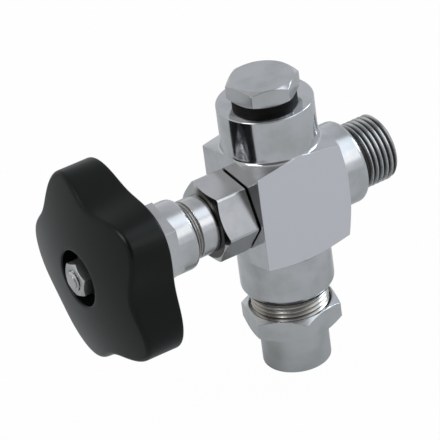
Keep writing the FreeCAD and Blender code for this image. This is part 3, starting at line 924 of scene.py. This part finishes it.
class Value:
    """A number that varies over a surface."""

    def __init__(self, recipe, socket):
        self.recipe = recipe
        self.socket = socket

    def step(self, operation, *values):
        made = self.recipe.node("ShaderNodeMath", {"operation": operation}, dict(enumerate(values)))
        return Value(self.recipe, made.outputs[0])

    def __add__(self, other):
        return self.step("ADD", self, other)

    def __radd__(self, other):
        return self.step("ADD", other, self)

    def __sub__(self, other):
        return self.step("SUBTRACT", self, other)

    def __rsub__(self, other):
        return self.step("SUBTRACT", other, self)

    def __mul__(self, other):
        return self.step("MULTIPLY", self, other)

    def __rmul__(self, other):
        return self.step("MULTIPLY", other, self)

    def __truediv__(self, other):
        return self.step("DIVIDE", self, other)

    def __abs__(self):
        return self.step("ABSOLUTE", self)

    def root(self):
        return self.step("SQRT", self)

    def above(self, limit):
        return self.step("GREATER_THAN", self, limit)

    def below(self, limit):
        return self.step("LESS_THAN", self, limit)


# %% Recipes that place the nodes
BUMP_HEIGHT = 0.02


class Recipe:
    """The node tree of a material or of the world."""

    def __init__(self, owner):
        owner.use_nodes = True
        self.tree = owner.node_tree
        self.tree.nodes.clear()

    def node(self, kind, settings=None, inputs=None):
        made = self.tree.nodes.new(kind)
        for name, value in (settings or {}).items():
            setattr(made, name, value)
        for key, value in (inputs or {}).items():
            if isinstance(value, Value):
                self.tree.links.new(value.socket, made.inputs[key])
            else:
                made.inputs[key].default_value = value
        return made

    def get(self, kind, output, settings=None, inputs=None):
        """One output of a new node, as a value."""
        return Value(self, self.node(kind, settings, inputs).outputs[output])

    def place(self):
        """The place on the object, in millimetres, as three values."""
        where = self.get("ShaderNodeTexCoord", "Object")
        parts = self.node("ShaderNodeSeparateXYZ", None, {"Vector": where})
        return [Value(self, parts.outputs[axis]) / MM for axis in ("X", "Y", "Z")]

    def point(self, x, y, z):
        return self.get("ShaderNodeCombineXYZ", "Vector", None, {"X": x, "Y": y, "Z": z})

    def noise(self, where, scale, detail):
        """Soft noise from 0 to 1 at a place."""
        inputs = {"Vector": where, "Scale": scale, "Detail": detail}
        return self.get("ShaderNodeTexNoise", "Fac", None, inputs)

    def between(self, share, low, high):
        """A number between two others."""
        return self.get(
            "ShaderNodeMapRange", "Result", None,
            {"Value": share, "From Min": 0.0, "From Max": 1.0, "To Min": low, "To Max": high},
        )

    def rise(self, value, low, high):
        """Rises smoothly from 0 at low to 1 at high. Low may be the larger of the two."""
        return self.get(
            "ShaderNodeMapRange", "Result", {"interpolation_type": "SMOOTHSTEP"},
            {"Value": value, "From Min": low, "From Max": high, "To Min": 0.0, "To Max": 1.0},
        )

    def colour(self, share, dark, light):
        """A colour between two others."""
        ends = [end if isinstance(end, Value) else (*end, 1) for end in (dark, light)]
        return self.get("ShaderNodeMix", 2, {"data_type": "RGBA"}, {0: share, 6: ends[0], 7: ends[1]})

    def bump(self, height, strength):
        """The normal over fine marks. Height 1 stands for BUMP_HEIGHT."""
        return self.get(
            "ShaderNodeBump", "Normal", None,
            {"Height": height, "Strength": strength, "Distance": BUMP_HEIGHT * MM},
        )

    def surface(self, shader, output):
        end = self.node("ShaderNodeOutputMaterial")
        self.tree.links.new(shader.outputs[output], end.inputs["Surface"])


# %% [markdown]
# ### Steel
#
# The tool of a lathe leaves fine rings, so the marks vary only with the radius and the station.
# Milled flats are satin, and what was turned is brighter. The roots of a thread are painted
# darker inwards: partly oil, and partly painted shade, since light comes to them only after many
# reflections. The front of the corner where the bonnet's neck meets its hexagon, and the bevel
# there, are painted dark: a painted reflection of the dark wheel, and painted shade.

# %% Where a point lies on a turned piece


def lathe_place(recipe, axis):
    """The radius and the station of a point about one of the valve's two axes."""
    x, y, z = recipe.place()
    if axis == "stem":
        return (y * y + z * z).root(), x
    aside = x - VALVE_X
    return (aside * aside + y * y).root(), z


def thread_depth(recipe, cut):
    """How deep a point lies in a thread, from 0 at the crest to 1 at the root."""
    axis, low, high, crest, root = cut
    radius, station = lathe_place(recipe, axis)
    along = station.above(low) * station.below(high)
    return along * recipe.rise(radius, crest, root)


def painted_reflection_corner(recipe):
    """Where a dark reflection and shade are painted: the front of the bonnet's hexagon end,
    with its bevel down to the lower front corner.
    """
    radius, station = lathe_place(recipe, "stem")
    x, y, z = recipe.place()
    bevel = (radius - BONNET_FACE) * radius.above(BONNET_FACE) * z.above(-2.9) * 0.577
    end_face = station.above(HEX_LEFT - 0.3) * (station - bevel).below(HEX_LEFT + 0.08)
    front = 1.0 - recipe.rise(y, -0.5, 3.5)
    return end_face * front * (1.0 - recipe.rise(radius, 13.4, 13.6))


# %% Turned and milled steel
RING_SCALE = 3.1
CLOUD_SCALE = 0.12
GRAIN_SCALE = 2.4
FRONT_FLAT = 14.85
ROOT_ROUGHNESS = 0.25
# Painted reflection and shade: the dark tone painted on the front of the bonnet's hexagon end.
PAINTED_REFLECTION_TONE = (0.07, 0.07, 0.065)


def steel(name, axis, tone, shine, satin_shine=None, cuts=(), painted_reflection=False):
    """Bare steel. The tone is its colour and the shine its roughness when turned.

    Satin flats are those at the front and back of the block. The process end beside them is
    turned less finely than the two bosses."""
    material = bpy.data.materials.new(name)
    recipe = Recipe(material)
    radius, station = lathe_place(recipe, axis)
    rings = recipe.noise(recipe.point(radius * RING_SCALE, station * RING_SCALE, 0.0), 1.0, 3.0)
    x, y, z = recipe.place()
    cloud = recipe.noise(recipe.point(x, y, z), CLOUD_SCALE, 4.0)
    grain = recipe.noise(recipe.point(x, y, z), GRAIN_SCALE, 2.0)
    roughness = recipe.between(rings, shine * 0.8, shine * 1.25) + recipe.between(cloud, -0.05, 0.05)
    height = rings
    if satin_shine:
        flat = abs(y).above(FRONT_FLAT)
        satin = recipe.between(grain, satin_shine * 0.92, satin_shine * 1.08)
        roughness = roughness + 0.12 * recipe.rise(x, -11.5, -10.0)
        roughness = roughness + flat * (satin - roughness)
        height = rings + flat * (grain - rings)
    dark = (0.84 * tone[0], 0.86 * tone[1], 0.84 * tone[2])
    base = recipe.colour(recipe.rise(cloud, 0.3, 0.62), dark, tone)
    if satin_shine:
        base = recipe.colour(flat, base, (1.22 * tone[0], 1.21 * tone[1], 1.24 * tone[2]))
    # Painted shade, partly oil: each thread's root tone is mixed in deeper into the thread.
    for cut, root_tone in cuts:
        depth = thread_depth(recipe, cut)
        base = recipe.colour(depth, base, root_tone)
        roughness = roughness + depth * ROOT_ROUGHNESS
    # Painted reflection and shade: the front of the bonnet's hexagon end is painted dark.
    if painted_reflection:
        base = recipe.colour(painted_reflection_corner(recipe), base, PAINTED_REFLECTION_TONE)
    shader = recipe.node("ShaderNodeBsdfPrincipled", None, {
        "Base Color": base, "Metallic": 1.0, "Roughness": roughness,
        "Normal": recipe.bump(height, 0.12),
    })
    recipe.surface(shader, "BSDF")
    return material


# %% Mix the steels
# Root tones of the threads: partly oil, partly painted shade in the roots.
DARK_ROOT = (0.14, 0.135, 0.12)
PIPE_CUT = (("stem", 1.2, PIPE_END + 1, PIPE_RADIUS - 0.15, PIPE_RADIUS - 0.85), DARK_ROOT)
GLAND_CUT = (("glass", STUB_END - 0.1, LOW_BOSS_END, 12.35, 11.45), (0.32, 0.295, 0.255))
CAP_CUT = (("stem", BONNET_END - 1, NECK_LEFT, 9.0, 8.7), (0.40, 0.38, 0.34))
PLUG_CUT = (("glass", PLUG_END - 1, BOSS_TOP, 8.25, 7.6), DARK_ROOT)
STEM_CUT = (("stem", THREAD_LEFT - 1, COLLAR_LEFT, 4.9, 4.3), DARK_ROOT)

block_steel = steel("block steel", "glass", (0.58, 0.59, 0.61), 0.11, 0.34, [PIPE_CUT, GLAND_CUT])
plug_steel = steel("plug steel", "glass", (0.55, 0.56, 0.575), 0.17, None, [PLUG_CUT])
gland_steel = steel("gland steel", "glass", (0.56, 0.575, 0.585), 0.22)
# The bonnet's steel carries the painted dark reflection and shade at its hexagon end.
bonnet_steel = steel("bonnet steel", "stem", (0.585, 0.59, 0.605), 0.225, None, [CAP_CUT], True)
nut_steel = steel("nut steel", "stem", (0.50, 0.51, 0.515), 0.37)
TRIM_TONE = (0.54, 0.55, 0.56)
trim_steel = steel("trim steel", "stem", TRIM_TONE, 0.22, None, [STEM_CUT])
trim_steel_upright = steel("upright trim steel", "glass", TRIM_TONE, 0.22)
print("the block's steel has", len(block_steel.node_tree.nodes), "nodes")

# %% [markdown]
# ### Plastic, rubber and brass
#
# The wheel is moulded in black plastic with a fine grain, so it shines softly. The seals are white
# plastic and the gaskets are dull black rubber. They differ only in colour, shine and grain, so
# one recipe serves all three. A low index of refraction keeps the two blacks deep in the bright
# studio. The insert of the wheel is brass with the same turned rings as the steel.

# %% Moulded and soft materials


def moulded(name, tone, shine, texture, bend=1.5):
    """A plain moulded material with a fine texture on it. The bend is its index of refraction."""
    material = bpy.data.materials.new(name)
    recipe = Recipe(material)
    x, y, z = recipe.place()
    grain = recipe.noise(recipe.point(x, y, z), 2.2, 3.0)
    cloud = recipe.noise(recipe.point(x, y, z), 0.07, 2.0)
    base = recipe.colour(cloud, [0.88 * c for c in tone], tone)
    shader = recipe.node("ShaderNodeBsdfPrincipled", None, {
        "Base Color": base, "Roughness": recipe.between(grain, shine * 0.92, shine * 1.08),
        "Normal": recipe.bump(grain, texture), "IOR": bend,
    })
    recipe.surface(shader, "BSDF")
    return material


wheel_plastic = moulded("wheel plastic", (0.003, 0.005, 0.004), 0.29, 0.05, 1.30)
seal_plastic = moulded("seal plastic", (0.86, 0.86, 0.84), 0.42, 0.05)
gasket_rubber = moulded("gasket rubber", (0.003, 0.003, 0.002), 0.6, 0.10, 1.25)


def brass():
    material = bpy.data.materials.new("insert brass")
    recipe = Recipe(material)
    radius, station = lathe_place(recipe, "stem")
    rings = recipe.noise(recipe.point(radius * 3.0, station * 3.0, 0.0), 1.0, 3.0)
    shader = recipe.node("ShaderNodeBsdfPrincipled", None, {
        "Base Color": recipe.colour(rings, (0.62, 0.46, 0.20), (0.72, 0.56, 0.28)),
        "Metallic": 1.0, "Roughness": recipe.between(rings, 0.22, 0.34),
    })
    recipe.surface(shader, "BSDF")
    return material


insert_brass = brass()
for made in (wheel_plastic, seal_plastic, gasket_rubber, insert_brass):
    print(made.name, "has", len(made.node_tree.nodes), "nodes")

# %% Give every piece its material


def dress(piece, material):
    piece.data.materials.clear()
    piece.data.materials.append(material)


for piece, material in (
    (valve_body, block_steel),
    (top_plug, plug_steel),
    (bonnet, bonnet_steel),
    (packing_nut, bonnet_steel),
    (gland_nut, gland_steel),
    (stem, trim_steel),
    (wheel, wheel_plastic),
    (wheel_nut, nut_steel),
):
    dress(piece, material)

kept = {
    "plug_gasket": gasket_rubber,
    "bonnet_gasket": gasket_rubber,
    "swivel_tip": trim_steel,
    "seat_disc": seal_plastic,
    "tip_lock_pins": trim_steel,
    "packing_washer": trim_steel,
    "packing_ring_1": seal_plastic,
    "packing_ring_2": seal_plastic,
    "packing_ring_3": seal_plastic,
    "packing_gland": trim_steel,
    "wheel_insert": insert_brass,
    "wheel_washer": trim_steel,
    "gland_follower": trim_steel_upright,
    "seal_base_ring": trim_steel_upright,
    "glass_seal_1": seal_plastic,
    "glass_seal_2": seal_plastic,
}
for node, material in kept.items():
    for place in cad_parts[node].material_slots:
        place.material = material
print(len(finished), "modelled pieces and", len(kept), "carried-over pieces are dressed")

# %% [markdown]
# ## Floor, light and camera
#
# The valve hangs over a plain white floor, which steel needs to look like steel. The world is a
# soft studio: bright round the horizon and dimmer overhead, a little bluer on the right. One lamp
# stands on each side, and two broad soft ones in front, one high and one low, draw the light
# bands along the turned pieces. The tent is open where the photographer stands, so the room
# behind them is dark, and corners of the metal mirror that darkness.

# %% Lay the floor
FLOOR_Z = -0.066
bpy.ops.object.select_all(action="DESELECT")
bpy.ops.mesh.primitive_plane_add(size=12, location=(0, 0, FLOOR_Z))
floor = bpy.context.object
floor.name = "floor"
print("the floor lies", round(-FLOOR_Z / MM), "mm below the stem's axis")


def seen_rays(recipe, camera, mirrored):
    """A share for what the camera sees, and another for what metal mirrors and glass lets through."""
    rays = recipe.node("ShaderNodeLightPath")
    kinds = ("Is Camera Ray", "Is Glossy Ray", "Is Transmission Ray")
    straight, glossy, through = [Value(recipe, rays.outputs[kind]) for kind in kinds]
    return straight * camera + (glossy + through) * mirrored


def floor_white():
    """White floor that still takes the shadow, and shows white around it."""
    material = bpy.data.materials.new("floor white")
    recipe = Recipe(material)
    paint = recipe.node("ShaderNodeBsdfDiffuse", None, {"Color": (0.62, 0.62, 0.62, 1)})
    glow = recipe.node("ShaderNodeEmission", None, {"Color": (1, 1, 1, 1), "Strength": 1.0})
    mix = recipe.node("ShaderNodeMixShader", None, {0: seen_rays(recipe, 0.98, 0.06)})
    recipe.tree.links.new(paint.outputs[0], mix.inputs[1])
    recipe.tree.links.new(glow.outputs[0], mix.inputs[2])
    recipe.surface(mix, 0)
    return material


dress(floor, floor_white())

# %% Light the studio
world = bpy.data.worlds.new("studio")
bpy.context.scene.world = world
recipe = Recipe(world)
way = recipe.get("ShaderNodeTexCoord", "Generated")
parts = recipe.node("ShaderNodeSeparateXYZ", None, {"Vector": way})
height = Value(recipe, parts.outputs["Z"])
side = recipe.rise(Value(recipe, parts.outputs["X"]), -0.5, 0.8)
level = 0.80 - 0.17 * recipe.rise(height, 0.15, 0.5) - 0.10 * recipe.rise(height, 0.66, 0.9)
PHOTOGRAPHER = (-0.43, -0.75, 0.5)
room = recipe.get("ShaderNodeVectorMath", "Value", {"operation": "DOT_PRODUCT"}, {0: way, 1: PHOTOGRAPHER})
level = level * (1.0 - 0.9 * recipe.rise(room, 0.72, 0.9))
strength = level + seen_rays(recipe, 1.0, 0.1) * (1.0 - level)
tint = recipe.colour(side, (1.0, 0.995, 0.975), (0.95, 0.975, 1.03))
sky = recipe.node("ShaderNodeBackground", None, {"Color": tint, "Strength": strength})
end = recipe.node("ShaderNodeOutputWorld")
recipe.tree.links.new(sky.outputs[0], end.inputs["Surface"])
print("the studio has", len(world.node_tree.nodes), "nodes")

# %% Set the lamps
LAMP_AIM = Vector((-0.04, 0, 0))


def lamp(name, place, size, energy, tint=(1.0, 1.0, 1.0)):
    """A large square lamp that faces the valve."""
    bpy.ops.object.select_all(action="DESELECT")
    bpy.ops.object.light_add(type="AREA", location=place)
    made = bpy.context.object
    made.name = name
    made.data.shape = "SQUARE"
    made.data.size = size
    made.data.energy = energy
    made.data.color = tint
    aim = LAMP_AIM - Vector(place)
    made.rotation_euler = aim.to_track_quat("-Z", "Y").to_euler()
    print(name, "stands", round(aim.length, 2), "m away")


lamp("key lamp", (-1.0, -0.15, 1.0), 0.6, 5.5)
lamp("side lamp", (1.1, -0.2, 0.6), 0.5, 5, (0.80, 0.90, 1.0))
lamp("high lamp", (0.7, -0.42, 1.19), 0.8, 2.2, (0.84, 0.92, 1.0))
lamp("band lamp", (0.6, -1.08, 0.8), 0.6, 1.2)

# %% Set the camera where the photographer stood
CAMERA_DISTANCE = 1184.45
CAMERA_ROLL = -7.88
AZIMUTH, ELEVATION = -29.64, 30.39
AIM_RIGHT, AIM_UP = -16.947, -8.799
LENS = 321.6
azimuth, elevation = math.radians(AZIMUTH), math.radians(ELEVATION)
back = Vector((
    math.sin(azimuth) * math.cos(elevation),
    -math.cos(azimuth) * math.cos(elevation),
    math.sin(elevation),
))
turn = back.to_track_quat("Z", "Y") @ Quaternion((0, 0, 1), math.radians(CAMERA_ROLL))
right, up = turn @ Vector((1, 0, 0)), turn @ Vector((0, 1, 0))
aim = Vector((VALVE_X, 0, 0)) + AIM_RIGHT * right + AIM_UP * up
bpy.ops.object.camera_add(location=(aim + CAMERA_DISTANCE * back) * MM, rotation=turn.to_euler())
camera = bpy.context.object
camera.data.sensor_width = 36
camera.data.lens = LENS
camera.data.clip_end = 20
bpy.context.scene.camera = camera
bpy.context.scene.view_settings.view_transform = "Standard"
print("the camera stands", round(CAMERA_DISTANCE * MM, 2), "m away")
